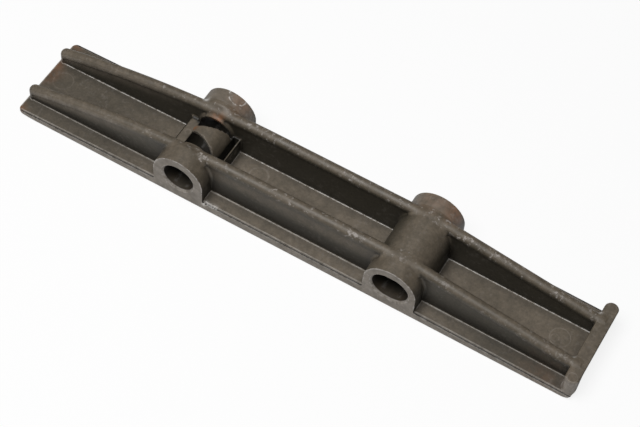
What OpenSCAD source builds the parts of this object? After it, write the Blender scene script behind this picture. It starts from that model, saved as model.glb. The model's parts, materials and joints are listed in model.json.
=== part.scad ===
// Timing chain guide: a one-piece moulded rail that the chain runs along.
// It lies on its sliding face, with two ribs on the back, two cross bosses for
// the locating pins, a spring tongue over the first pin and a bar across one end.

/* [Plate] */
// Length of the plate with its end bar
rail_l = 166.2; // [140:0.1:220]
// Width over the lips and the boss faces
rail_w = 27; // [24:0.5:34]
// Thickness of the plate between the pins
plate_t = 2.95; // [2.8:0.05:4]
// Thickness of the plate at its ends, to which it thins out from the pins
end_t = 1.55; // [1.5:0.05:2.5]
// Height of the lip along each long edge, between the pins
lip_h = 2.55; // [2.2:0.05:2.7]
// Height of the lip at the ends
lip_end = 1.3; // [1:0.05:1.4]
// Step from the lip in to the upper edge of the plate
lip_step = 0.45; // [0.25:0.05:1]
// Corner radius of the plate seen from above
corner_r = 1.5; // [0.8:0.1:1.8]
// Radius of the curve under the tail end
tail_r = 20; // [10:1:40]
// Rise of the sliding face at the tail end
tail_rise = 0.7; // [0.3:0.05:0.8]

/* [End bar] */
// Thickness of the bar along the rail
bar_t = 3.8; // [3.2:0.1:6]
// Height of the bar over the sliding face
bar_h = 7.7; // [6.5:0.1:10]
// How far the round ends of the bar stand out from the plate's upper edge
bar_out = 0.1; // [0.05:0.05:0.2]
// Radius of the chain lead-in under the bar
lead_r = 4; // [3:0.1:5]
// Angle by which the front leans back over the lead-in
lead_a = 18; // [8:1:24]
// Height of the upright edge left at the top of the front
lead_top = 0.5; // [0.3:0.1:1.5]
// Width of the upright cheek at each end of the front
cheek_w = 2.6; // [2:0.1:5]

/* [Ribs] */
// Distance between the centre lines of the ribs
rib_gap = 14.7; // [13.5:0.1:17]
// Height of the level part of the ribs over the sliding face
rib_h = 14.9; // [12:0.1:15]
// Diameter of the round bead along the top of each rib
bead_d = 3.2; // [2.4:0.1:4]
// Width of the web under the bead
web_top_w = 2.8; // [2:0.1:3.2]
// Width of the web at the sliding face, wider by its draft
web_foot_w = 3.7; // [2.8:0.1:4.4]
// Radius of the fillet where a web meets the plate
foot_r = 0.3; // [0.2:0.05:1]
// Radius of the curve on which the ribs rise from the tail
rise_r = 248; // [200:1:400]
// Distance from the tail to where the ribs become level
rise_l = 68.6; // [60:0.1:75]
// Distance past the second pin where the ribs turn down
fall_out = 3; // [0:0.1:5]
// Radius of the turn down to the end bar
fall_r = 30; // [15:1:60]
// How far the rib noses stand in from the tail end
nose_in = 0.15; // [0.1:0.05:1]

/* [Pin bosses] */
// Distance from the tail end to the first pin
pin_x = 51.1; // [40:0.1:60]
// Distance between the two pins
pin_span = 62.8; // [50:0.1:80]
// Height of the pin axes over the sliding face
pin_h = 7.7; // [7.3:0.1:9]
// Diameter of the first pin hole
pin_d = 9; // [7:0.1:9.6]
// Extra length of the second hole, so that the rail can grow when hot
slot_l = 1.3; // [0.4:0.1:3]
// Outside radius of the bosses
boss_r = 7.5; // [6.9:0.1:8.5]
// Chamfer round the mouths of the holes
mouth = 0.35; // [0.1:0.05:0.5]

/* [Spring tongue] */
// Width of the window between the two halves of the first boss
window_w = 10.6; // [9:0.1:11]
// Wall round the pin where it passes the ribs into the window
collar_t = 2; // [1.2:0.1:2.4]
// Thickness of the tongue
tongue_t = 1.1; // [0.8:0.1:1.5]
// Width of the tongue at its root
tongue_w = 7.8; // [6:0.1:8.8]
// Width the hollow sides would come down to behind the tip
waist_w = 1.4; // [1:0.1:2.4]
// Distance of that waist past the pin's axis
waist_out = 6.3; // [5:0.1:8]
// Radius of the hollow sides of the tongue
flare_r = 20; // [14:0.5:30]
// Distance of the tip's centre past the pin's axis
tip_out = 2.55; // [1:0.05:3]
// Gap behind the root of the tongue
root_gap = 1.1; // [0.8:0.1:1.4]
// Depth of that gap below the pin's axis
root_depth = 3.2; // [1.5:0.1:4]
// Space between the gap's ends and the tongue's sides
side_gap = 0.1; // [0.1:0.1:0.3]

/* [Hidden] */
$fn = 96;
plastic = [0.36, 0.33, 0.29];
// Overlap that lets one cut or pad run clear of the face beside it
over = 1;
// Depth by which one form is let into the next
sunk = 0.1;
// Step that keeps two round faces from lying in one another
hair = 0.01;
// Ends of the plate, with the middle of the whole rail at zero
tail_x = -rail_l / 2;
front_x = rail_l / 2;
pin1_x = tail_x + pin_x;
pin2_x = pin1_x + pin_span;
bar_mid_x = front_x - bar_t / 2;
// Half width of the plate over its lips and at its upper edge
lip_y = rail_w / 2;
edge_y = lip_y - lip_step;
// Step at the tail end, finer than along the sides
tail_step = lip_step / 3;
// Centre line of the bead: rising arc, level run, turn and straight fall
bead_r = bead_d / 2;
bead_z = rib_h - bead_r;
level_x = tail_x + rise_l;
turn_x = pin2_x + fall_out;
nose_r = bead_r + hair;
nose_x = tail_x + nose_in + nose_r;
nose_z = bead_z - rise_r + sqrt(pow(rise_r, 2) - pow(level_x - nose_x, 2));
rise_a = asin((level_x - nose_x) / rise_r);
bar_z = bar_h - bead_r - sunk;
fall_a = atan((bead_z - bar_z) / (bar_mid_x - turn_x));
turn_l = fall_r * tan(fall_a / 2);
fall_l = (bar_mid_x - turn_x) / cos(fall_a) - turn_l;
// Half width of a web where it leaves the plate
web_y = (web_foot_w - (web_foot_w - web_top_w) * plate_t / bead_z) / 2;
// Slopes on which the plate thins out to the tail and to the front
tail_a = atan((plate_t - end_t) / (pin1_x - tail_x));
front_a = atan((plate_t - end_t) / (front_x - pin2_x));
// Length of the curve under the tail
tail_run = sqrt(pow(tail_r, 2) - pow(tail_r - tail_rise, 2));
// Centre of the lead-in's curve, which runs on into the leaning front
lead_z = lead_r - sunk;
lean_z = bar_h - lead_top;
lead_x = front_x + ((lead_z - lean_z) * sin(lead_a) - lead_r) / cos(lead_a);
// Spring tongue: outside radius, and the round tip that fills its sides
collar_r = pin_d / 2 + collar_t;
tongue_r = pin_d / 2 + tongue_t;
flare_y = waist_w / 2 + flare_r;
tip_r = flare_y - sqrt(pow(flare_r, 2) - pow(waist_out - tip_out, 2)) + hair;

// Extrudes a side view across the rail, from lip to lip
module across(width) {
    rotate([90, 0, 0])
        linear_extrude(height = width, center = true)
            children();
}

// Extrudes a cross-section along the rail between two places
module along(from_x, to_x) {
    translate([from_x, 0, 0])
        rotate([90, 0, 90])
            linear_extrude(height = to_x - from_x)
                children();
}

// Plan of the plate between two ends, with round corners
module plan(from_x, to_x, half_y) {
    straight_x = to_x - from_x - 2 * corner_r;
    straight_y = 2 * (half_y - corner_r);
    translate([(from_x + to_x) / 2, 0]) {
        square([straight_x + 2 * corner_r, straight_y], center = true);
        square([straight_x, straight_y + 2 * corner_r], center = true);
        for (x = [-straight_x / 2, straight_x / 2], y = [-straight_y / 2, straight_y / 2])
            translate([x, y])
                circle(r = corner_r);
    }
}

// Everything under a top that is level between the pins and thins out to the ends
module under_top(middle_z, end_z) {
    across(rail_w + over)
        polygon([
            [tail_x - over, -over], [front_x + over, -over], [front_x + over, end_z], [front_x, end_z],
            [pin2_x, middle_z], [pin1_x, middle_z], [tail_x, end_z], [tail_x - over, end_z]
        ]);
}

// The lip goes all round; the upper part of the plate ends inside the bar
module plate() {
    intersection() {
        linear_extrude(height = plate_t + over)
            plan(tail_x, front_x, lip_y);
        under_top(lip_h, lip_end);
    }
    intersection() {
        linear_extrude(height = plate_t + over)
            plan(tail_x + tail_step, bar_mid_x + corner_r, edge_y);
        under_top(plate_t, end_t);
    }
}

// Bar across the front end, flat on top and round at both ends
module end_bar() {
    end_y = edge_y + bar_out - bar_t / 2;
    linear_extrude(height = bar_h)
        translate([bar_mid_x, 0]) {
            square([bar_t, 2 * end_y], center = true);
            for (y = [-end_y, end_y])
                translate([0, y])
                    circle(d = bar_t);
        }
}

// Side view of a web, up to the centre line of its bead
module web_side() {
    intersection() {
        translate([nose_x, 0])
            square([level_x - nose_x, bead_z]);
        translate([level_x, bead_z - rise_r])
            circle(r = rise_r, $fn = 720);
    }
    translate([level_x, 0])
        square([turn_x - level_x, bead_z]);
    polygon([[turn_x, 0], [turn_x, bead_z], [bar_mid_x, bar_z], [bar_mid_x, 0]]);
}

// Cross-section of a web, drafted so that it leaves the mould
module web_section() {
    polygon([[-web_foot_w / 2, 0], [web_foot_w / 2, 0], [web_top_w / 2, bead_z], [-web_top_w / 2, bead_z]]);
}

// Cross-section of the fillets at the two feet of a web, let a little into the plate
module foot_section() {
    for (side = [0, 1])
        mirror([side, 0])
            translate([web_y, -2 * hair])
                difference() {
                    translate([-sunk, -sunk])
                        square(foot_r + sunk);
                    translate([foot_r, foot_r])
                        circle(r = foot_r);
                }
}

// The fillets follow the plate: level between the pins, down to the nose and to the end bar
module foot() {
    translate([0, 0, plate_t])
        along(pin1_x, pin2_x)
            foot_section();
    translate([pin1_x, 0, plate_t])
        rotate([0, -tail_a, 0])
            along(nose_x - pin1_x, 0)
                foot_section();
    translate([pin2_x, 0, plate_t])
        rotate([0, front_a, 0])
            along(0, bar_mid_x - pin2_x)
                foot_section();
}

// Round bead that follows the top of a web from the nose to the end bar.
// The straight runs are let into the curved ones, thinner by a hair.
module bead() {
    translate([nose_x, 0, lip_end])
        cylinder(r = bead_r, h = nose_z - lip_end);
    translate([nose_x, 0, nose_z])
        sphere(r = nose_r);
    translate([level_x, 0, bead_z - rise_r])
        rotate([90, 0, 0])
            rotate([0, 0, 90])
                rotate_extrude(angle = rise_a, $fn = 720)
                    translate([rise_r, 0])
                        circle(r = bead_r);
    translate([level_x - sunk, 0, bead_z])
        rotate([0, 90, 0])
            cylinder(r = bead_r - hair, h = turn_x - turn_l - level_x + 2 * sunk);
    translate([turn_x - turn_l, 0, bead_z - fall_r])
        rotate([90, 0, 0])
            rotate([0, 0, 90 - fall_a])
                rotate_extrude(angle = fall_a)
                    translate([fall_r, 0])
                        circle(r = bead_r);
    translate([turn_x, 0, bead_z])
        rotate([0, 90 + fall_a, 0])
            translate([0, 0, turn_l - sunk])
                cylinder(r = bead_r - hair, h = fall_l + sunk);
}

module rib() {
    intersection() {
        across(web_foot_w + over)
            web_side();
        along(nose_x, bar_mid_x)
            web_section();
    }
    foot();
    bead();
}

// Boss that carries a pin across the rail, with upright sides under a round top
module boss() {
    across(rail_w) {
        translate([0, pin_h])
            circle(r = boss_r);
        translate([-boss_r, 0])
            square([2 * boss_r, pin_h]);
    }
}

// The first boss is open above the pin from rib to rib, with a collar beside each rib
module open_boss() {
    difference() {
        boss();
        translate([-boss_r - over, -rib_gap / 2, pin_h])
            cube([2 * (boss_r + over), rib_gap, boss_r + over]);
    }
    for (side = [0, 1])
        mirror([0, side, 0])
            translate([0, rib_gap / 2 + sunk, pin_h])
                rotate([90, 0, 0])
                    cylinder(r = collar_r, h = (rib_gap - window_w) / 2 + sunk);
}

// Round hole through both lips, with a chamfer at each mouth
module pin_hole() {
    rotate([90, 0, 0])
        cylinder(d = pin_d, h = rail_w + over, center = true);
    for (side = [0, 1])
        mirror([0, side, 0])
            translate([0, lip_y - mouth, 0])
                rotate([-90, 0, 0])
                    cylinder(r1 = pin_d / 2, r2 = pin_d / 2 + 2 * mouth, h = 2 * mouth);
}

// The second hole is a slot, two round holes and the straight run between them
module slot_hole() {
    for (x = [-slot_l / 2, slot_l / 2])
        translate([x, 0, 0])
            pin_hole();
    along(-slot_l / 2, slot_l / 2)
        polygon([
            [-lip_y - mouth, -pin_d / 2 - 2 * mouth], [-lip_y + mouth, -pin_d / 2],
            [lip_y - mouth, -pin_d / 2], [lip_y + mouth, -pin_d / 2 - 2 * mouth],
            [lip_y + mouth, pin_d / 2 + 2 * mouth], [lip_y - mouth, pin_d / 2],
            [-lip_y + mouth, pin_d / 2], [-lip_y - mouth, pin_d / 2 + 2 * mouth]
        ]);
}

// Plan of the tongue: a round tip between two hollow sides that flare out to the root
module tongue_plan() {
    translate([-tip_out, 0])
        circle(r = tip_r);
    difference() {
        translate([-tip_out, -tongue_w / 2])
            square([tongue_r + over + tip_out, tongue_w]);
        for (y = [-flare_y, flare_y])
            translate([-waist_out, y])
                circle(r = flare_r);
    }
}

// Spring tongue that curls over the pin from its root on the bar side
module tongue() {
    difference() {
        intersection() {
            rotate([90, 0, 0])
                cylinder(r = tongue_r, h = window_w, center = true);
            linear_extrude(height = tongue_r + over)
                tongue_plan();
        }
        rotate([90, 0, 0])
            cylinder(d = pin_d, h = window_w + over, center = true);
    }
}

// Gap that frees the root of the tongue
module root_slot() {
    translate([tongue_r, -tongue_w / 2 - side_gap, -root_depth])
        cube([root_gap, tongue_w + 2 * side_gap, root_depth + over]);
}

// Curves of the sliding face: up at the tail, round under the cheeks of the bar
// and into a front that leans back between them
module face_ends() {
    across(rail_w + over) {
        difference() {
            translate([tail_x - over, -over])
                square([tail_run + over, tail_rise + over]);
            translate([tail_x + tail_run, tail_r])
                circle(r = tail_r);
        }
        difference() {
            translate([front_x - lead_r, -over])
                square([lead_r + over, lead_r + over]);
            translate([front_x - lead_r, lead_r])
                circle(r = lead_r);
        }
    }
    across(rail_w - 2 * cheek_w)
        difference() {
            polygon([
                [lead_x, -over], [front_x + over, -over], [front_x + over, lean_z], [front_x, lean_z],
                [lead_x + lead_r * cos(lead_a), lead_z - lead_r * sin(lead_a)], [lead_x, lead_z]
            ]);
            translate([lead_x, lead_z])
                circle(r = lead_r);
        }
}

module guide_rail() {
    color(plastic) {
        difference() {
            union() {
                plate();
                end_bar();
                for (y = [-rib_gap / 2, rib_gap / 2])
                    translate([0, y, 0])
                        rib();
                translate([pin1_x, 0, 0])
                    open_boss();
                translate([pin2_x, 0, 0])
                    boss();
            }
            face_ends();
            translate([pin1_x, 0, pin_h]) {
                pin_hole();
                root_slot();
            }
            translate([pin2_x, 0, pin_h])
                slot_hole();
        }
        translate([pin1_x, 0, pin_h])
            tongue();
    }
}

guide_rail();
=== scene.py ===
import json
import math

import bpy
import numpy as np
from mathutils import Matrix, Vector


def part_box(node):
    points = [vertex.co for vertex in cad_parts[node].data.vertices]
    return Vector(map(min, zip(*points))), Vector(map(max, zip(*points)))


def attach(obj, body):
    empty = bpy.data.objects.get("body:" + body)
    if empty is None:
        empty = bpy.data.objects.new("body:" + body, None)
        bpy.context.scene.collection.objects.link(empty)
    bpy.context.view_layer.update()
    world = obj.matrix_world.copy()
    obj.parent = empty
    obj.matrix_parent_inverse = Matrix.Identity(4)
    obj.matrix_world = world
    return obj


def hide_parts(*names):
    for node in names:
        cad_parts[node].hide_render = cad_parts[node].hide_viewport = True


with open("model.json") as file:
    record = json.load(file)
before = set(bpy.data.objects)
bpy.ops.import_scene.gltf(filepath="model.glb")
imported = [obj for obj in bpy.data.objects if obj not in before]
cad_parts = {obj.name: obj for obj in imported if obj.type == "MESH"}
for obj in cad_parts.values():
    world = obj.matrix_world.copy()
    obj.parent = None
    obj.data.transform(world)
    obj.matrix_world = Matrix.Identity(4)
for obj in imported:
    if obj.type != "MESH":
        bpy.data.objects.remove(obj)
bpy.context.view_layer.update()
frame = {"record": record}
mm = 0.001
print("frame loaded")

# rail, all lengths in millimetres, ends and pins taken from the frame
nodeLow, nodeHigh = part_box("guide_rail")
mountPlace = {m["name"]: np.array(m["pos_m"]) / mm for m in frame["record"]["mounts"]}

rail = {
    "plateT": 2.95, "endT": 1.55,        # plate between the pins and at its ends
    "lipH": 2.55, "lipEnd": 1.3,         # lip along the long edges, likewise
    "lipStep": 0.45, "tailStep": 0.15, "cornerR": 1.5,
    "edgeR": 0.38, "lipFootR": 0.06, "planEdgeR": 0.12, "faceEdgeR": 0.1,
    "tailR": 20.0, "tailRise": 0.7,      # curve under the tail
    "barT": 3.8, "barH": 7.7, "barOut": 0.1, "barEdgeR": 0.4, "barBeadDrop": 0.1,
    "leadR": 4.0, "leadA": 18.0, "leadTop": 0.5, "leadSunk": 0.1,
    "cheekR": 3.0, "cheekOut": 2.4,      # cheeks at the ends of the leaning front
    "cheekFrom": 9.0, "cheekFull": 0.1,  # front cheek: start from the middle, full this far in from the edge
    "backCheek": (-1.0, 0.2),            # back cheek: start and full, counted from the edge
    "ribGap": 14.7, "ribH": 14.9, "beadR": 1.6, "capDrop": 0.15, "capEdgeR": 0.08, "capFootR": 0.06,
    "webHalf": 1.32, "draft": 0.041,     # web under the bead, wider by its draft downwards
    "joinR": 0.3, "footR": 0.3, "bossFilletR": 0.7, "filletRise": (4.5, 8.5),
    "riseR": 248.0, "riseL": 68.6, "noseIn": 0.15,
    "fallOut": 3.0, "fallR": 30.0,
    "bossR": 7.5, "pinR": 4.5, "slotL": 1.3,
    "mouth": 0.5, "innerMouth": 0.08, "mouthFrom": 9,
    "windowW": 9.8, "floorUp": 0.4, "windowEdgeR": (0.2, 1.1), "windowSoft": (1, 4),
    "collarT": 0.75, "collarEdgeR": 0.12,
    "tongueT": 1.1, "tongueW": 7.8, "waistW": 1.4, "waistOut": 6.3, "flareR": 20.0, "tipOut": 2.55,
    "tongueEdgeR": 0.18, "tongueSunk": 0.2,
    "rootGap": 1.4, "rootDepth": 3.2, "sideGap": 1.5, "gapEdgeR": 0.1,
}

tailX, frontX, halfW = nodeLow.x / mm, nodeHigh.x / mm, nodeHigh.y / mm
pin1X, pinZ = mountPlace["pin_hole"][0], mountPlace["pin_hole"][2]
pin2X = mountPlace["pin_slot"][0]
edgeY = halfW - rail["lipStep"]
ribY = rail["ribGap"] / 2
beadZ = rail["ribH"] - rail["beadR"]
levelX = tailX + rail["riseL"]
turnX = pin2X + rail["fallOut"]
barMidX = frontX - rail["barT"] / 2
barBeadZ = rail["barH"] - rail["beadR"] - rail["barBeadDrop"]
fallA = math.atan((beadZ - barBeadZ) / (barMidX - turnX))
noseX = tailX + rail["noseIn"] + rail["beadR"]
noseZ = beadZ - rail["riseR"] + math.sqrt(rail["riseR"] ** 2 - (levelX - noseX) ** 2)
floorZ = pinZ + rail["floorUp"]


# smooth step from 0 at low to 1 at high
def ease(value, low, high):
    t = np.clip((value - low) / (high - low), 0, 1)
    return t * t * (3 - 2 * t)


# union with a fillet: near both faces the distance is measured to a quarter circle of radius r
def joinRound(a, b, r):
    return np.maximum(r, np.minimum(a, b)) - np.hypot(np.maximum(r - a, 0), np.maximum(r - b, 0))


# intersection with a rounded edge, the same quarter circle turned outwards
def keepRound(a, b, r):
    return np.minimum(-r, np.maximum(a, b)) + np.hypot(np.maximum(r + a, 0), np.maximum(r + b, 0))


# intersection with a chamfer: a third plane at 45 degrees, set in by the width m
def keepChamfer(a, b, m):
    return np.maximum(np.maximum(a, b), (a + b + m) * math.sqrt(0.5))


# plan between two ends: distance to a rectangle with rounded corners
def planDistance(x, y, fromX, toX, half):
    r = rail["cornerR"]
    px = np.abs(x - (fromX + toX) / 2) - (toX - fromX) / 2 + r
    py = np.abs(y) - half + r
    return np.hypot(np.maximum(px, 0), np.maximum(py, 0)) + np.minimum(np.maximum(px, py), 0) - r


# height of the plate or lip: level between the pins, straight slopes from there to both ends
def topHeight(x, middleZ, endZ):
    share = np.minimum((x - tailX) / (pin1X - tailX), (frontX - x) / (frontX - pin2X))
    return endZ + (middleZ - endZ) * np.clip(share, 0, 1)


# centre line of the bead: arc from the nose, level run, straight fall to the bar, a turn between them
def beadLine(x):
    x = np.clip(x, noseX, barMidX)
    arc = beadZ - rail["riseR"] + np.sqrt(rail["riseR"] ** 2 - np.maximum(levelX - x, 0) ** 2)
    fall = beadZ - (x - turnX) * math.tan(fallA)
    k = rail["fallR"] * fallA ** 2 * 0.5
    return np.minimum(arc, fall) - 0.25 * k * np.maximum(1 - np.abs(arc - fall) / k, 0) ** 2


# height over that line, shortened by the slope of the line, taken over twice h
def beadHeight(x, z, h=0.05):
    grade = (beadLine(x + h) - beadLine(x - h)) / (2 * h)
    return (z - beadLine(x)) / np.sqrt(1 + grade ** 2)


# sliding face: the plane z = 0, curved up at the tail; at the bar a circle that runs on into a leaning front
# in the middle, and cheeks with a smaller circle at both ends
def faceDistance(x, y, z):
    tailRun = math.sqrt(rail["tailR"] ** 2 - (rail["tailR"] - rail["tailRise"]) ** 2)
    tail = keepRound(-z, tailX + tailRun - rail["tailR"] - x, rail["tailR"])
    cheek = keepRound(-z, x - frontX, rail["cheekR"])
    r, lean = rail["leadR"], math.radians(rail["leadA"])
    leadZ = r - rail["leadSunk"]
    leanZ = rail["barH"] - rail["leadTop"]
    leadX = frontX + ((leadZ - leanZ) * math.sin(lean) - r) / math.cos(lean)
    px, pz = x - leadX, z - leadZ
    leaning = np.maximum(px * math.cos(lean) - pz * math.sin(lean), -pz) - r
    curved = (px > 0) & (pz * math.cos(lean) + px * math.sin(lean) < 0)
    middle = np.where(curved, np.hypot(px, pz) - r, leaning)
    frontCheek = ease(-y, rail["cheekFrom"], edgeY - rail["cheekFull"])
    backCheek = ease(y - edgeY, *rail["backCheek"])
    front = np.maximum(cheek, middle - rail["cheekOut"] * np.where(y < 0, frontCheek, backCheek))
    return np.maximum(tail, front)


# one rib: a drafted web under a half-round cap, ending in a round nose at the tail
def ribDistance(x, y, z):
    across = np.abs(np.abs(y) - ribY)
    height = beadHeight(x, z)
    web = np.maximum(across - rail["webHalf"] + rail["draft"] * height, height)
    cap = keepRound(np.hypot(height, across) - rail["beadR"], -height - rail["capDrop"], rail["capEdgeR"])
    body = joinRound(web, cap, rail["capFootR"])
    nose = np.sqrt((x - noseX) ** 2 + across ** 2 + np.maximum(z - noseZ, 0) ** 2) - rail["beadR"]
    return np.maximum(np.where(x < noseX, nose, body), x - barMidX)


# section of a boss or collar: upright sides under a round top
def bossSection(x, z, pinX, r):
    return np.hypot(x - pinX, np.maximum(z - pinZ, 0)) - r


# first boss: cut down to a floor between the ribs, the cut's edge softer higher up, a collar beside each rib
def openBoss(x, y, z):
    window = np.maximum(floorZ - z, np.abs(y) - ribY)
    sharpR, softR = rail["windowEdgeR"]
    edgeR = sharpR + (softR - sharpR) * ease(z - floorZ, *rail["windowSoft"])
    boss = keepRound(bossSection(x, z, pin1X, rail["bossR"]), -window, edgeR)
    collarSection = bossSection(x, z, pin1X, rail["pinR"] + rail["collarT"])
    collar = keepRound(collarSection, rail["windowW"] / 2 - np.abs(y), rail["collarEdgeR"])
    return np.minimum(boss, collar)


# end bar: a flat top over a plan with two round ends
def barDistance(x, y, z):
    endY = edgeY + rail["barOut"] - rail["barT"] / 2
    pill = np.hypot(x - barMidX, np.maximum(np.abs(y) - endY, 0)) - rail["barT"] / 2
    return keepRound(pill, z - rail["barH"], rail["barEdgeR"])


# tongue: a shell round the pin, cut to a plan with a round tip and two hollow sides
def tongueDistance(x, y, z):
    px, pz = x - pin1X, z - pinZ
    flareY = rail["waistW"] / 2 + rail["flareR"]
    tipR = flareY - math.sqrt(rail["flareR"] ** 2 - (rail["waistOut"] - rail["tipOut"]) ** 2)
    shell = np.abs(np.hypot(px, pz) - rail["pinR"] - rail["tongueT"] / 2) - rail["tongueT"] / 2
    hollow = rail["flareR"] - np.hypot(px + rail["waistOut"], np.abs(y) - flareY)
    sides = np.maximum(hollow, np.abs(y) - rail["tongueW"] / 2)
    tip = np.hypot(px + rail["tipOut"], y) - tipR
    plan = np.where(px < -rail["tipOut"], tip, sides)
    return np.maximum(keepRound(shell, plan, rail["tongueEdgeR"]), -pz - rail["tongueSunk"])


# distance from the axis of the pin hole, and from the middle line of the slot
def pinDistances(x, z):
    slotX = np.maximum(np.abs(x - pin2X) - rail["slotL"] / 2, 0)
    return np.hypot(x - pin1X, z - pinZ), np.hypot(slotX, z - pinZ)


# the whole moulding: the forms above joined with fillets, cut to the plan of the plate and to the
# sliding face, then the gap behind the tongue, the tongue itself and the two pin holes
def railDistance(x, y, z):
    upperPlan = planDistance(x, y, tailX + rail["tailStep"], barMidX + rail["cornerR"], edgeY)
    upper = keepRound(z - topHeight(x, rail["plateT"], rail["endT"]), upperPlan, rail["edgeR"])
    body = joinRound(z - topHeight(x, rail["lipH"], rail["lipEnd"]), upper, rail["lipFootR"])
    for form in (openBoss(x, y, z), bossSection(x, z, pin2X, rail["bossR"]), barDistance(x, y, z)):
        body = joinRound(body, form, rail["joinR"])
    fillet = rail["footR"] + (rail["bossFilletR"] - rail["footR"]) * ease(z, *rail["filletRise"])
    body = joinRound(body, ribDistance(x, y, z), fillet)
    body = keepRound(body, planDistance(x, y, tailX, frontX, halfW), rail["planEdgeR"])
    body = keepRound(body, faceDistance(x, y, z), rail["faceEdgeR"])
    gapX = pin1X + rail["pinR"] + rail["tongueT"] + rail["rootGap"] / 2
    gapY = rail["tongueW"] / 2 + rail["sideGap"]
    gap = np.maximum(np.abs(x - gapX) - rail["rootGap"] / 2, np.abs(y) - gapY)
    gap = np.maximum(gap, pinZ - rail["rootDepth"] - z)
    body = keepRound(body, -gap, rail["gapEdgeR"])
    body = np.minimum(body, tongueDistance(x, y, z))
    chamfer = np.where(np.abs(y) > rail["mouthFrom"], rail["mouth"], rail["innerMouth"])
    for fromAxis in pinDistances(x, z):
        body = keepChamfer(body, rail["pinR"] - fromAxis, chamfer)
    return body


# grid lines: stretches given as (end, step), laid one after another from start
def gridLines(start, stretches):
    lines = [np.array([start])]
    for end, step in stretches:
        first = lines[-1][-1]
        count = max(1, int(round((end - first) / step)))
        lines.append(first + (end - first) * np.arange(1, count + 1) / count)
    return np.concatenate(lines)


# grid heights follow the rail: the plate's top and the bead's line each stay on one grid layer,
# and the layers between them are spread evenly
def layerHeight(x, layer):
    top, line = topHeight(x, rail["plateT"], rail["endT"]), beadLine(x)
    low = layer * np.where(layer > 0, top / rail["plateT"], 1)
    share = (layer - rail["plateT"]) / (beadZ - rail["plateT"])
    middle = top + share * (line - top)
    return np.where(layer < rail["plateT"], low, np.where(layer < beadZ, middle, line + layer - beadZ))


# surface net: one vertex in each cell the surface crosses, at the mean of the edge crossings,
# and one quad round each crossed grid edge, all found with whole-array comparisons
def surfaceNet(field, xs, ys, zs):
    counts = np.zeros([n - 1 for n in field.shape], int)
    total = np.zeros(counts.shape + (3,))
    axes = (xs, ys, zs)
    crossings = []
    for axis in range(3):
        a = np.take(field, range(field.shape[axis] - 1), axis)
        b = np.take(field, range(1, field.shape[axis]), axis)
        cross = (a < 0) != (b < 0)
        t = np.where(cross, a / np.where(cross, a - b, 1), 0)
        index = np.argwhere(cross)
        place = np.stack([axes[k][index[:, k]] for k in range(3)], 1)
        step = np.diff(axes[axis])[index[:, axis]]
        place[:, axis] += t[cross] * step
        crossings.append((axis, index, (a < 0)[cross]))
        others = [k for k in range(3) if k != axis]
        for du in (0, -1):
            for dv in (0, -1):
                cell = index.copy()
                cell[:, others[0]] += du
                cell[:, others[1]] += dv
                keep = np.all((cell >= 0) & (cell < counts.shape), axis=1)
                np.add.at(total, tuple(cell[keep].T), place[keep])
                np.add.at(counts, tuple(cell[keep].T), 1)
    used = counts > 0
    number = np.full(counts.shape, -1)
    number[used] = np.arange(used.sum())
    points = total[used] / counts[used][:, None]
    quads = []
    for axis, index, startsInside in crossings:
        u, v = [(1, 2), (2, 0), (0, 1)][axis]
        corners = []
        for du, dv in ((0, 0), (-1, 0), (-1, -1), (0, -1)):
            cell = index.copy()
            cell[:, u] += du
            cell[:, v] += dv
            corners.append(number[tuple(cell.T)])
        quad = np.stack(corners, 1)
        quad[~startsInside] = quad[~startsInside][:, ::-1]
        quads.append(quad)
    return points, np.concatenate(quads)


# slope of the distance, from central differences over 2h
def slope(distance, points, h=0.02):
    parts = []
    for k in range(3):
        step = np.zeros(3)
        step[k] = h
        up, down = points + step, points - step
        parts.append((distance(*up.T) - distance(*down.T)) / (2 * h))
    return np.stack(parts, 1)


# pulls each vertex along the slope of the distance until it lies on the surface, in steps of at most reach
def settle(distance, points, rounds=4, reach=0.3, leastSlope=0.2):
    for _ in range(rounds):
        d = np.clip(distance(*points.T), -reach, reach)
        g = slope(distance, points)
        points = points - d[:, None] * g / np.maximum((g * g).sum(1), leastSlope)[:, None]
    return points


# grid stretches as (end, step), fine where the form turns
grid = {
    "x": (
        (tailX + 0.45, 0.1), (tailX + 4, 0.35),
        (pin1X - 8.6, 1.5), (pin1X + 5.4, 0.36), (pin1X + 7.8, 0.2), (pin1X + 8.6, 0.4),
        (pin2X - 8.6, 1.6), (pin2X + 8.6, 0.45),
        (frontX - 6, 1.5), (frontX - 4.4, 0.4), (frontX - 3.2, 0.2), (frontX - 0.6, 0.37), (frontX + 0.3, 0.15),
    ),
    "halfY": (
        (3.6, 0.6), (4.2, 0.15), (5.1, 0.3), (6.1, 0.125), (8.6, 0.36), (9.3, 0.12), (10.7, 0.5),
        (11.1, 0.2), (12.5, 0.5), (13.1, 0.12), (13.34, 0.12), (halfW + 0.1, 0.052),
    ),
    "z": (
        (-0.04, 0.08), (0.16, 0.05), (2.25, 0.42), (2.4, 0.15), (2.62, 0.055), (3.0, 0.095), (3.36, 0.12),
        (12.9, 0.55), (13.4, 0.1), (14.6, 0.24), (nodeHigh.z / mm + 1.2, 0.15),
    ),
    "tailOut": 0.35, "under": 0.2,       # how far the grid starts before the tail and under the face
    "offZero": 1e-7,                     # keeps grid points off the surface
    "flat": 1e-6,                        # height up to which a point lies on the sliding face
}
gridX = gridLines(tailX - grid["tailOut"], grid["x"])
halfY = gridLines(0.0, grid["halfY"])
gridY = np.concatenate([-halfY[:0:-1], halfY])
gridZ = gridLines(-grid["under"], grid["z"])
gridHeight = layerHeight(gridX[:, None], gridZ[None, :])[:, None, :]
field = railDistance(gridX[:, None, None], gridY[None, :, None], gridHeight) + grid["offZero"]
points, quads = surfaceNet(field, gridX, gridY, gridZ)
points[:, 2] = layerHeight(points[:, 0], points[:, 2])
points = settle(railDistance, points)

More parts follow.
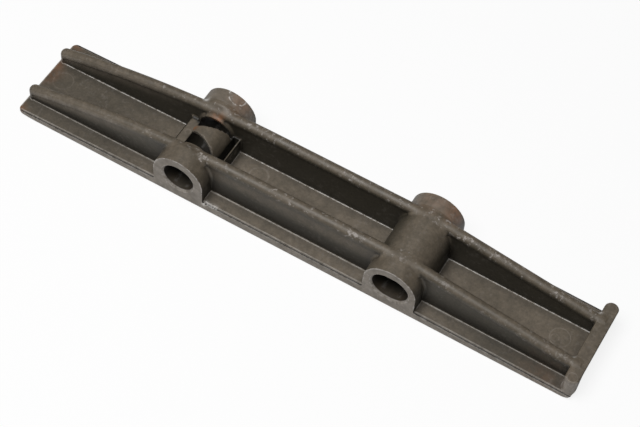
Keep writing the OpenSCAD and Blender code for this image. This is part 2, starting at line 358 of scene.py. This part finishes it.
# the flat sliding face becomes one polygon: its quads go, and the edges used only once are followed round
onFace = np.all(np.abs(points[quads][:, :, 2]) < grid["flat"], axis=1)
edges = np.concatenate([quads[onFace][:, [k, (k + 1) % 4]] for k in range(4)])
edgeKey = edges.min(axis=1) * len(points) + edges.max(axis=1)
firstPlace, uses = np.unique(edgeKey, return_index=True, return_counts=True)[1:]
border = dict(edges[firstPlace[uses == 1]].tolist())
outline = [min(border)]
while border[outline[-1]] != outline[0]:
    outline.append(border[outline[-1]])
kept, renumbered = np.unique(np.concatenate([quads[~onFace].ravel(), outline]), return_inverse=True)
points = points[kept]
quads = renumbered[:-len(outline)].reshape(-1, 4)
faces = quads.tolist() + [renumbered[-len(outline):].tolist()]
normals = slope(railDistance, points)
normals /= np.maximum(np.linalg.norm(normals, axis=1), 1e-9)[:, None]
print("sliding face:", onFace.sum(), "quads,", len(border), "border edges,", len(outline), "followed")
print("rail surface:", len(points), "vertices,", 2 * len(quads) + len(outline) - 2, "triangles")

# wear, and painted light and shade, as numbers on the vertices
far = np.inf
wearAndLight = {
    "crevice": (0.25, 0.6, 1.2),         # depths along the normal at which a crevice is felt
    "shelter": (2.0, 4.0, 7.0),          # likewise for whole corners
    "edge": (0.2, 0.4),                  # depths under the surface at which an edge is felt
    "shellHalf": 0.6,                    # half thickness of the band that counts as tongue
    "warm": (                            # reddish places: where thin, a painted glow of light through the wall, where rubbed a tint: place, spread, strength
        ((-83.0, 12.6, 1.3), 1.6, 0.6), ((-83.0, 1.0, 1.5), 2.0, 0.4), ((-82.8, 5.2, 1.6), 1.4, 0.4),
        ((-82.9, -13.2, 1.0), 1.3, 0.5), ((pin1X + 3.8, 12.3, 13.9), 2.4, 0.4),
        ((pin1X + 0.6, 5.0, 12.8), 1.15, 1.0), ((pin1X - 3.5, 0.0, 12.0), 0.7, 0.7),
        ((pin2X + 4.8, 12.0, 13.2), 2.1, 0.75), ((pin2X - 2.0, 12.6, 14.6), 2.6, 0.32),
        ((74.0, -13.4, 1.0), 5.0, 0.12),
    ),
    "glintAndChip": (                            # small white spots, likewise; the first two are painted glints where the ribs meet the bar
        ((79.2, 8.7, 7.0), 0.38, 2.4), ((79.0, -6.2, 7.1), 0.33, 1.8), ((pin1X - 5.0, 8.6, 13.6), 0.5, 0.8),
        ((-23.5, -13.2, 2.7), 0.45, 0.7), ((-21.8, -13.0, 2.8), 0.4, 0.55), ((-20.6, -13.1, 2.7), 0.4, 0.6),
        ((-24.2, -13.4, 2.2), 0.35, 0.6),
    ),
    "place": {                           # places, each a lower and an upper limit on some of the measures below
        "barEnd": {"x": (frontX - 4.2, far), "offY": (11.4, far), "sideways": (0.35, far)},
        "inHole": {"pin": (-far, rail["pinR"] + 0.06), "offY": (-far, 13.1)},
        "holeMouth": {"pin": (-far, rail["pinR"] + rail["mouth"] + 0.05), "offY": (12.9, far)},
        "onTongue": {"offShell": (-far, 0.6), "offY": (-far, 4.2), "z": (floorZ, far)},
        "nearRib": {"offRib": (-far, 2.2)},
        "outside": {"offY": (ribY, far)},
        "flatTop": {"upward": (0.6, far), "overTop": (-far, 0.3)},
        "frontFlange": {"y": (-far, -8)},
        "secondBoss": {"offY": (-far, ribY - 1.2), "pin2": (-far, rail["bossR"] + 0.8), "overTop": (1, far)},
        "ledge": {"offY": (edgeY + 0.02, halfW - 0.08), "upward": (0.5, far), "overTop": (-far, 0)},
        "upperEdge": {"offY": (-far, edgeY + 0.01)},
        "footLine": {"offY": (-far, 12), "z": (1, far)},
        "backFootLine": {"y": (4.0, 7.0)},
        "bossEnd": {"offBoss": (-far, 0.8), "y": (9.5, far)},
        "bossFace": {"pin": (-far, rail["bossR"] + 0.1), "overTop": (0, far)},
        "webSide": {"sideways": (0.7, far)},
        "windowCorner": {"offY": (-far, 6.2), "z": (floorZ - 0.4, floorZ + 0.4), "x": (pin1X - 7.3, pin1X + 7.3)},
        "besideBoss": {"x": (pin1X - 9.4, pin1X - 7.0), "offY": (-far, 5), "overTop": (-far, 0.6)},
        "ribTop": {"offRib": (-far, 1.8), "x": (-far, frontX - 4.5)},
        "lipEdge": {"overTop": (-far, 0.2), "offY": (12.5, far)},
    },
    "range": {                           # values of a measure at which each kind of wear and of painted light and shade begins and is full
        "overPlate": (0.5, 1.0), "outerFace": (12.85, 13.3), "outward": (0.2, 0.6), "belowCap": (-13.6, -12.8),
        "tail": (38, 58), "underCap": (-4.2, -0.2), "pastBoss": (2, 8), "outerWeb": (2.5, 9.5),
        "paleBand": (0.35, 0.75), "bandTop": (0.8, 0.95), "webSide": (0.5, 0.8), "webFoot": (-0.62, -0.22),
        "upFacing": (0.0, 0.8), "holeEnd": (7.0, 13.0), "tailPlate": (35, 60), "frontFlange": (40, 65),
        "tailFacing": (0.3, 0.75), "upperEdge": (-0.5, -0.3), "edgeTurn": (0.1, 0.5),
        "footTurn": (0.2, 0.6), "footFlat": (-0.985, -0.9), "tongueSide": (0.3, 0.8), "rim": (0.05, 0.35),
        "nearMouth": (7.5, 12.0), "holeBottom": (0.3, 0.9), "crevice": (0.05, 0.45), "shelter": (0.2, 0.75),
        "windowCorner": (4.7, 5.1), "ribTop": (0.0, 0.8), "ribFrom": (-60, -35), "frontRibTo": (-32, -24),
        "lipEdge": (0.1, 0.4),
    },
    # amounts of painted light and shade on the dark and grey base
    "litAmounts": {"outerWeb": 0.36, "paleBand": 0.72, "bandTop": 0.4, "cap": 0.1, "tailCap": 0.7, "hole": 0.05,
             "holeEnd": 0.25, "tongue": 0.9, "tailPlate": 0.5, "frontFlange": 0.65, "secondBoss": 0.7},
    # paleness: painted highlights and bounce light, on outer faces partly scuffs
    "paleness": {"outerFace": 0.65, "bossFace": 0.85, "holeMouth": 0.85, "barEnd": 0.9, "tongueSide": 0.8,
                 "bossEnd": 0.4, "tailWeb": 0.3, "backEdge": 0.9, "frontEdge": 0.75},
    # strengths of painted shade
    "paintedShade": {"ledge": 0.9, "hole": 0.88, "holeMouthLess": 0.6, "crevice": 0.75, "windowCorner": 0.85,
             "webFoot": 0.5, "shelter": 0.35},
    "rub": {"tailRib": 0.2, "frontRib": 0.35, "edge": 1.3, "edgeMost": 0.6, "ribTop": 0.9, "outerFace": 0.45,
            "bossEnd": 0.3, "least": 0.1},
    # painted glints and highlights as white specks, per place
    "glintsAndChips": {"rim": 0.4, "holeMouth": 0.12, "footLine": 0.14, "backFootLine": 0.26, "upperEdge": 0.1,
                 "lipEdge": 0.12},
    "warmHole": 0.04,
}


# sum of round spots, each falling off as a bell curve round its place
def spots(rows):
    return np.sum([force * np.exp(-((points - np.array(spot)) ** 2).sum(1) / (2 * reach ** 2))
                   for spot, reach, force in rows], axis=0)


# true where every measure of a place lies between its two limits
def within(place):
    limits = wearAndLight["place"][place].items()
    return np.all([(measures[name] > low) & (measures[name] < high) for name, (low, high) in limits], axis=0)


# smooth step over the range of one kind of wear, painted light and painted shade
def grow(value, kind):
    return ease(value, *wearAndLight["range"][kind])


# distance along the normal as a share of the depth looked at, as a mean over several depths
def openShare(depths, sign):
    return np.mean([railDistance(*(points + sign * normals * h).T) / h for h in depths], axis=0)


x, y, z = points.T
top = topHeight(x, rail["plateT"], rail["endT"])
pin1Distance, pin2Distance = pinDistances(x, z)
measures = {
    "x": x, "y": y, "z": z, "overTop": z - top, "offY": np.abs(y), "offRib": np.abs(np.abs(y) - ribY),
    "sideways": np.abs(normals[:, 1]), "upward": normals[:, 2],
    "pin2": pin2Distance, "pin": np.minimum(pin1Distance, pin2Distance),
    "offShell": np.abs(pin1Distance - (rail["pinR"] + wearAndLight["shellHalf"])),
    "offBoss": np.minimum(np.abs(pin1Distance - rail["bossR"]), np.abs(pin2Distance - rail["bossR"])),
}
offY, sideways, upward = measures["offY"], measures["sideways"], measures["upward"]
overPlate = grow(z - top, "overPlate")
barEnd, inHole, holeMouth, onTongue = (within(k) for k in ("barEnd", "inHole", "holeMouth", "onTongue"))
outerFace = np.maximum(grow(offY, "outerFace") * grow(sideways, "outward"), barEnd)
# crevices and corners lack open space over the surface, sharp edges lack depth under it
crevice = (1 - openShare(wearAndLight["crevice"], 1)) * overPlate * (1 - onTongue) * grow(-z, "belowCap")
shelter = 1 - openShare(wearAndLight["shelter"], 1)
edge = 1 + openShare(wearAndLight["edge"], -1)

# painted light and shade: upward and outer faces are lit to grey, webs and holes are left dark as painted shade
litAmounts = wearAndLight["litAmounts"]
tailShare = grow(-x, "tail")
underCap = grow(beadHeight(x, z), "underCap") * overPlate * within("nearRib")
# outer webs are paler towards their tops, a painted reflection of the floor, between the bosses in a band with a
# dark foot
webShare = (z - top) / (beadLine(x) - top)
betweenBosses = grow(x - pin1X, "pastBoss") * grow(pin2X - x, "pastBoss")
outerWeb = within("outside") * overPlate
paleBand = litAmounts["paleBand"] * grow(webShare, "paleBand") * (1 - litAmounts["bandTop"] * grow(webShare, "bandTop"))
webLight = litAmounts["outerWeb"] * grow(z - top, "outerWeb")
webLight = (webLight + (paleBand - webLight) * betweenBosses) * outerWeb
webLight = np.maximum(webLight, underCap * (litAmounts["cap"] + litAmounts["tailCap"] * tailShare))
webFoot = outerWeb * (1 - outerFace) * grow(sideways, "webSide") * grow(-webShare, "webFoot")
litShare = np.maximum.reduce([grow(upward, "upFacing"), outerFace, webLight])
litShare = np.where(onTongue, np.maximum(litShare, litAmounts["tongue"]), litShare)
litShare = np.where(inHole, litAmounts["hole"] + litAmounts["holeEnd"] * grow(offY, "holeEnd"), litShare)
# the plate is a little darker towards the tail, the flange towards the bar; the second boss has painted shade on
# its tail side
darkTail = litAmounts["tailPlate"] * grow(-x, "tailPlate")
darkFlange = litAmounts["frontFlange"] * grow(x, "frontFlange") * within("frontFlange")
litShare = litShare * (1 - within("flatTop") * np.maximum(darkTail, darkFlange))
litShare = litShare * (1 - litAmounts["secondBoss"] * within("secondBoss") * grow(-normals[:, 0], "tailFacing"))

# painted highlights on the rounded edge over the lip, the feet of the webs, the hole mouths and the tongue's
# sides; the faces of the bosses and other outer faces are paler, partly painted bounce light and partly scuffs
paleness = wearAndLight["paleness"]
upperEdge = grow(offY - edgeY, "upperEdge") * within("upperEdge") * grow(sideways, "edgeTurn") * (1 - overPlate)
upperEdge = upperEdge * np.where(y > 0, paleness["backEdge"], paleness["frontEdge"])
footLine = grow(upward, "footTurn") * grow(-upward, "footFlat") * (1 - overPlate) * within("footLine")
bossEnd = within("bossEnd")
bossFace = outerFace * within("bossFace")
pale = np.maximum.reduce([
    paleness["outerFace"] * outerFace, paleness["bossFace"] * bossFace, paleness["holeMouth"] * holeMouth,
    paleness["barEnd"] * barEnd, footLine, upperEdge,
    paleness["tongueSide"] * onTongue * grow(sideways, "tongueSide"), paleness["bossEnd"] * bossEnd,
    paleness["tailWeb"] * underCap * tailShare * within("webSide")])
pale = pale * (1 - inHole * (1 - holeMouth))

# painted shade on the ledge over the lip, in holes and crevices, at the feet of the outer webs and in whole
# corners
paintedShade = wearAndLight["paintedShade"]
holeShade = inHole * (paintedShade["hole"] - paintedShade["holeMouthLess"] * grow(offY, "nearMouth") * grow(upward, "holeBottom"))
shadeShare = np.maximum.reduce([
    paintedShade["ledge"] * within("ledge") * (1 - holeMouth), holeShade * (1 - holeMouth),
    paintedShade["crevice"] * grow(crevice, "crevice"), paintedShade["webFoot"] * webFoot,
    paintedShade["windowCorner"] * grow(offY, "windowCorner") * within("windowCorner")])
shadeShare = np.clip(shadeShare + paintedShade["shelter"] * grow(shelter, "shelter"), 0, 1) * (1 - within("besideBoss"))

# rib tops, boss ends and edges are the rubbed places
rub = wearAndLight["rub"]
frontRib = rub["frontRib"] + (1 - rub["frontRib"]) * grow(-x, "frontRibTo")
alongRib = grow(x, "ribFrom") * np.where(y > 0, 1.0, frontRib)
ribTop = grow(beadHeight(x, z), "ribTop") * within("ribTop")
ribTop = ribTop * (rub["tailRib"] + (1 - rub["tailRib"]) * alongRib)
rubbed = np.maximum.reduce([
    np.minimum(edge * rub["edge"], rub["edgeMost"]), rub["ribTop"] * ribTop, rub["outerFace"] * outerFace,
    rub["bossEnd"] * bossEnd, np.full(len(x), rub["least"])]) * (1 - inHole)
warm = spots(wearAndLight["warm"]) + wearAndLight["warmHole"] * inHole
# white specks: painted glints where the ribs meet the bar and painted highlights on boss rims, hole mouths, web
# feet and edges, besides white chips
glintsAndChips = wearAndLight["glintsAndChips"]
glintAndChip = spots(wearAndLight["glintAndChip"]) + glintsAndChips["rim"] * bossFace * grow(edge, "rim") + glintsAndChips["holeMouth"] * holeMouth
glintAndChip = glintAndChip + (glintsAndChips["footLine"] + glintsAndChips["backFootLine"] * within("backFootLine")) * footLine
glintAndChip = glintAndChip + glintsAndChips["upperEdge"] * upperEdge + glintsAndChips["lipEdge"] * grow(edge, "lipEdge") * within("lipEdge")
wearAndLightValues = {"litShare": litShare, "pale": pale, "shadeShare": shadeShare, "rubbed": rubbed, "warm": warm, "glintAndChip": glintAndChip}
print("wear found")

railMesh = bpy.data.meshes.new("mouldedRail")
railMesh.from_pydata((points * mm).tolist(), [], faces)
railMesh.polygons.foreach_set("use_smooth", np.ones(len(faces), bool))
railMesh.normals_split_custom_set_from_vertices(normals.tolist())
for name, values in wearAndLightValues.items():
    column = railMesh.attributes.new(name, "FLOAT", "POINT")
    column.data.foreach_set("value", np.clip(values, 0, 1).astype(np.float32))
railMesh.update()
railPiece = bpy.data.objects.new("moulded_rail", railMesh)
bpy.context.scene.collection.objects.link(railPiece)
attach(railPiece, "root")
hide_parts("guide_rail")

# nylon, colours as linear light, noises as scale per metre, detail and roughness
nylon = {
    "dark": (0.036, 0.031, 0.021, 1), "grey": (0.124, 0.100, 0.072, 1),   # painted shade on sheltered faces, painted light on lit ones
    # the pale colour in the next row stands for painted highlights and bounce light, and for scuffs and ring
    # marks
    # the reddish colour in the next row stands for a painted glow of light through thin walls and for tint
    "glowAndTint": (0.26, 0.095, 0.028, 1), "sheenAndScuff": (0.27, 0.238, 0.203, 1),
    # the darkest colour, at the end of the next row, is painted shade
    "chipped": (0.33, 0.30, 0.275, 1), "white": (0.75, 0.73, 0.70, 1), "paintedShade": (0.012, 0.010, 0.007, 1),
    "mottle": (130, 4, 0.62), "blotch": (420, 3, 0.6), "grain": (1500, 2, 0.6), "fleck": (800, 3, 0.7),
    "patch": (110, 2, 0.5), "streak": (480, 2, 0.5), "wander": (420, 2, 0.5),
    "streakStretch": (1, 1, 0.12),       # streaks run upwards
    # noise from low to high, and what it becomes there
    "mottleFade": (0.3, 0.7, 0.45, 0.8), "blotchFade": (0.35, 0.65, 0.0, 0.35),
    "streakFade": (0.35, 0.65, 0.35, 1.0), "grainTone": (0.3, 0.7, 0.85, 1.15),
    "warmBlotch": (0.35, 0.6, 0.25, 1.0), "paleBlotch": (0.3, 0.7, 0.3, 0.85),
    "thickFleck": (0.53, 0.63, 0, 1), "fleckPatch": (0.45, 0.62, 0.08, 1.0), "thinFleck": (0.62, 0.68, 0, 1),
    "ringBlotch": (0.35, 0.65, 0.05, 0.4), "scratchBlotch": (0.42, 0.54, 0.0, 0.7),
    "chipFleck": (0.42, 0.52, 0, 1), "roughness": (0.3, 0.7, 0.44, 0.62),
    "thinShare": 0.6, "scuffRough": 0.2,
    "bump": 0.00005, "grainRelief": 0.4, "blotchRelief": 0.3, "ringRelief": 0.3,
    "rings": (                           # faint marks of mould pins: centre, radius, half width, in metres
        ((0.0731, 0.0004), 0.0027, 0.00022), ((0.0720, -0.0003), 0.00105, 0.00018),
        ((-0.07805, 0.0007), 0.0028, 0.00025), ((0.0812, -0.0116), 0.0013, 0.0002),
        ((-0.0377, 0.0006), 0.00075, 0.00028), ((-0.0163, 0.0015), 0.0026, 0.0004),
    ),
    "scratch": ((-0.0293, 0.0136), 0.00242, 0.00024),   # over the back of the first boss, likewise
    "bend": 0.0014,                      # how far the scratch wanders
}
nylonMaterial = bpy.data.materials.new("satinNylon")
nylonMaterial.use_nodes = True
nylonTree = nylonMaterial.node_tree
shader = nylonTree.nodes["Principled BSDF"]


# a node of one kind, its sockets set from numbers or linked from other nodes
def node(kind, outlet, sockets, **settings):
    made = nylonTree.nodes.new(kind)
    for key, value in settings.items():
        setattr(made, key, value)
    for key, value in sockets.items():
        if isinstance(value, bpy.types.NodeSocket):
            nylonTree.links.new(value, made.inputs[key])
        else:
            made.inputs[key].default_value = value
    return made.outputs[outlet]


# one operation on two or three vectors, part by part
def vectors(operation, a, b, *more):
    return node("ShaderNodeVectorMath", 0, dict(enumerate((a, b, *more))), operation=operation)


# noise of one of the rows above, at the given place; outlet 1 gives it as a vector
def noise(row, at, outlet=0):
    scale, detail, rough = nylon[row]
    sockets = {"Vector": at, "Scale": scale, "Detail": detail, "Roughness": rough}
    return node("ShaderNodeTexNoise", outlet, sockets)


# straight change from (low, high) to (first, last), held at both ends
def spread(value, low, high, first, last):
    return node("ShaderNodeMapRange", 0, {
        "Value": value, "From Min": low, "From Max": high, "To Min": first, "To Max": last})


# product of two values
def times(a, b):
    return node("ShaderNodeMath", 0, {0: a, 1: b}, operation="MULTIPLY")


# sum of two values, held between 0 and 1
def plus(a, b):
    return node("ShaderNodeMath", 0, {0: a, 1: b}, operation="ADD", use_clamp=True)


# colour a turned into colour b by the given share
def blend(share, a, b, kind="MIX"):
    return node("ShaderNodeMix", 2, {0: share, 6: a, 7: b}, data_type="RGBA", blend_type=kind)


# one of the wear values of the vertices
def vertexValue(name):
    return node("ShaderNodeAttribute", "Fac", {}, attribute_name=name)


# a ring mark: one on the circle of the given radius round its centre, falling to zero over its half width
def ringMark(plan, centre, radius, width):
    away = node("ShaderNodeVectorMath", "Value", {0: plan, 1: (*centre, 0)}, operation="DISTANCE")
    off = node("ShaderNodeMath", 0, {0: away, 1: radius}, operation="SUBTRACT")
    return spread(node("ShaderNodeMath", 0, {0: off}, operation="ABSOLUTE"), 0, width, 1, 0)


place = node("ShaderNodeTexCoord", "Object", {})
mottle, blotch, grain, fleck, patch = (noise(k, place) for k in ("mottle", "blotch", "grain", "fleck", "patch"))
streak = noise("streak", vectors("MULTIPLY", place, nylon["streakStretch"]))
litShareValue = vertexValue("litShare")
# base: painted shade as dark on sheltered faces, painted light as grey on lit faces, uneven at three sizes
unevenFade = plus(spread(mottle, *nylon["mottleFade"]), spread(blotch, *nylon["blotchFade"]))
lightShare = times(litShareValue, unevenFade)
lightShare = times(lightShare, plus(litShareValue, spread(streak, *nylon["streakFade"])))
colour = blend(lightShare, nylon["dark"], nylon["grey"])
grainTone = spread(grain, *nylon["grainTone"])
grainColour = node("ShaderNodeCombineColor", 0, {k: grainTone for k in range(3)})
colour = blend(1.0, colour, grainColour, "MULTIPLY")
# reddish: painted glow of light through thin walls, and tint
colour = blend(times(vertexValue("warm"), spread(blotch, *nylon["warmBlotch"])), colour, nylon["glowAndTint"])
# painted highlights on foot lines and edges, outer faces paler, partly painted bounce light and partly scuffs
colour = blend(times(vertexValue("pale"), spread(blotch, *nylon["paleBlotch"])), colour, nylon["sheenAndScuff"])
# pale flecks in patches, thick where rubbed
thickFlecks = times(spread(fleck, *nylon["thickFleck"]), spread(patch, *nylon["fleckPatch"]))
flecks = plus(thickFlecks, times(spread(fleck, *nylon["thinFleck"]), nylon["thinShare"]))
scuffShare = times(flecks, vertexValue("rubbed"))
colour = blend(scuffShare, colour, nylon["chipped"])
# painted shade in crevices and deep corners, ring marks, scratch, white chips and painted glints
colour = blend(vertexValue("shadeShare"), colour, nylon["paintedShade"])
plan = vectors("MULTIPLY", place, (1, 1, 0))
rings = ringMark(plan, *nylon["rings"][0])
for row in nylon["rings"][1:]:
    rings = plus(rings, ringMark(plan, *row))
rings = times(rings, litShareValue)
colour = blend(times(rings, spread(blotch, *nylon["ringBlotch"])), colour, nylon["sheenAndScuff"])
bent = vectors("MULTIPLY_ADD", noise("wander", place, 1), (nylon["bend"],) * 3, plan)
bent = vectors("MULTIPLY", bent, (1, 1, 0))
scratch = times(ringMark(bent, *nylon["scratch"]), spread(blotch, *nylon["scratchBlotch"]))
colour = blend(scratch, colour, nylon["white"])
colour = blend(times(vertexValue("glintAndChip"), spread(fleck, *nylon["chipFleck"])), colour, nylon["white"])
nylonTree.links.new(colour, shader.inputs["Base Color"])
roughness = plus(spread(mottle, *nylon["roughness"]), times(scuffShare, nylon["scuffRough"]))
nylonTree.links.new(roughness, shader.inputs["Roughness"])
relief = plus(times(blotch, nylon["blotchRelief"]), times(rings, nylon["ringRelief"]))
relief = plus(times(grain, nylon["grainRelief"]), relief)
bump = node("ShaderNodeBump", 0, {"Strength": 1.0, "Distance": nylon["bump"], "Height": relief})
nylonTree.links.new(bump, shader.inputs["Normal"])
railMesh.materials.append(nylonMaterial)
print("nylon made")

# floor, white paper just under the sliding face
floorSettings = {
    "size": 3.0, "height": -0.0002, "colour": (0.9, 0.9, 0.9, 1), "roughness": 0.9,
    "cameraShare": 0.85,                 # how much of plain white the camera sees in place of the paper
}
floorMesh = bpy.data.meshes.new("paper")
s, h = floorSettings["size"] / 2, floorSettings["height"]
floorMesh.from_pydata([(-s, -s, h), (s, -s, h), (s, s, h), (-s, s, h)], [], [(0, 1, 2, 3)])
paper = bpy.data.objects.new("paper", floorMesh)
bpy.context.scene.collection.objects.link(paper)
paperMaterial = bpy.data.materials.new("whitePaper")
paperMaterial.use_nodes = True
paperTree = paperMaterial.node_tree
paperShader = paperTree.nodes["Principled BSDF"]
paperShader.inputs["Base Color"].default_value = floorSettings["colour"]
paperShader.inputs["Roughness"].default_value = floorSettings["roughness"]
paperShader.inputs["Specular IOR Level"].default_value = 0.0
glow = paperTree.nodes.new("ShaderNodeEmission")
glow.inputs["Strength"].default_value = 1.0
paperRays = paperTree.nodes.new("ShaderNodeLightPath")
whiteShare = paperTree.nodes.new("ShaderNodeMath")
whiteShare.operation = "MULTIPLY"
whiteShare.inputs[1].default_value = floorSettings["cameraShare"]
paperMix = paperTree.nodes.new("ShaderNodeMixShader")
paperTree.links.new(paperRays.outputs["Is Camera Ray"], whiteShare.inputs[0])
paperTree.links.new(whiteShare.outputs[0], paperMix.inputs[0])
paperTree.links.new(paperShader.outputs[0], paperMix.inputs[1])
paperTree.links.new(glow.outputs[0], paperMix.inputs[2])
paperTree.links.new(paperMix.outputs[0], paperTree.nodes["Material Output"].inputs["Surface"])
floorMesh.materials.append(paperMaterial)

# light: one soft box over the rail, and a pale room that the camera sees as white
softBox = {"toward": (-0.14, -0.24, 0.96), "distance": 0.7, "size": 0.5, "watts": 5.1}
lampData = bpy.data.lights.new("softBox", "AREA")
lampData.shape = "DISK"
lampData.size = softBox["size"]
lampData.energy = softBox["watts"]
lamp = bpy.data.objects.new("softBox", lampData)
lamp.location = Vector(softBox["toward"]).normalized() * softBox["distance"]
lamp.rotation_euler = Vector(softBox["toward"]).to_track_quat("Z", "Y").to_euler()
bpy.context.scene.collection.objects.link(lamp)

room = {"fill": 0.06, "seen": 1.0, "colour": (1, 1, 1, 1)}
world = bpy.data.worlds.new("paleRoom")
bpy.context.scene.world = world
world.use_nodes = True
roomTree = world.node_tree
background = roomTree.nodes["Background"]
background.inputs["Color"].default_value = room["colour"]
roomRays = roomTree.nodes.new("ShaderNodeLightPath")
level = roomTree.nodes.new("ShaderNodeMapRange")
level.inputs["To Min"].default_value = room["fill"]
level.inputs["To Max"].default_value = room["seen"]
roomTree.links.new(roomRays.outputs["Is Camera Ray"], level.inputs["Value"])
roomTree.links.new(level.outputs["Result"], background.inputs["Strength"])

# camera
view = {
    "azimuth": 25.609, "elevation": 56.511, "roll": 5.437,   # degrees, read from the edges of the rail
    "distance": 0.44996, "target": (0.003974, -0.001417, 0.005),
    "focalPixels": 1736.87, "imageWidth": 640, "sensorWidth": 36,
}
a, e, r = (math.radians(view[k]) for k in ("azimuth", "elevation", "roll"))
back = Vector((math.sin(a) * math.cos(e), -math.cos(a) * math.cos(e), math.sin(e)))
right = Vector((math.cos(a), math.sin(a), 0))
up = back.cross(right)
rightTurned = right * math.cos(r) + up * math.sin(r)
upTurned = up * math.cos(r) - right * math.sin(r)
cameraData = bpy.data.cameras.new("photoCamera")
cameraData.sensor_width = view["sensorWidth"]
cameraData.lens = view["focalPixels"] * view["sensorWidth"] / view["imageWidth"]
camera = bpy.data.objects.new("photoCamera", cameraData)
stand = Matrix((rightTurned, upTurned, back)).transposed().to_4x4()
stand.translation = Vector(view["target"]) + back * view["distance"]
camera.matrix_world = stand
bpy.context.scene.collection.objects.link(camera)
bpy.context.scene.camera = camera
bpy.context.scene.view_settings.view_transform = "Standard"
print("light and camera set")
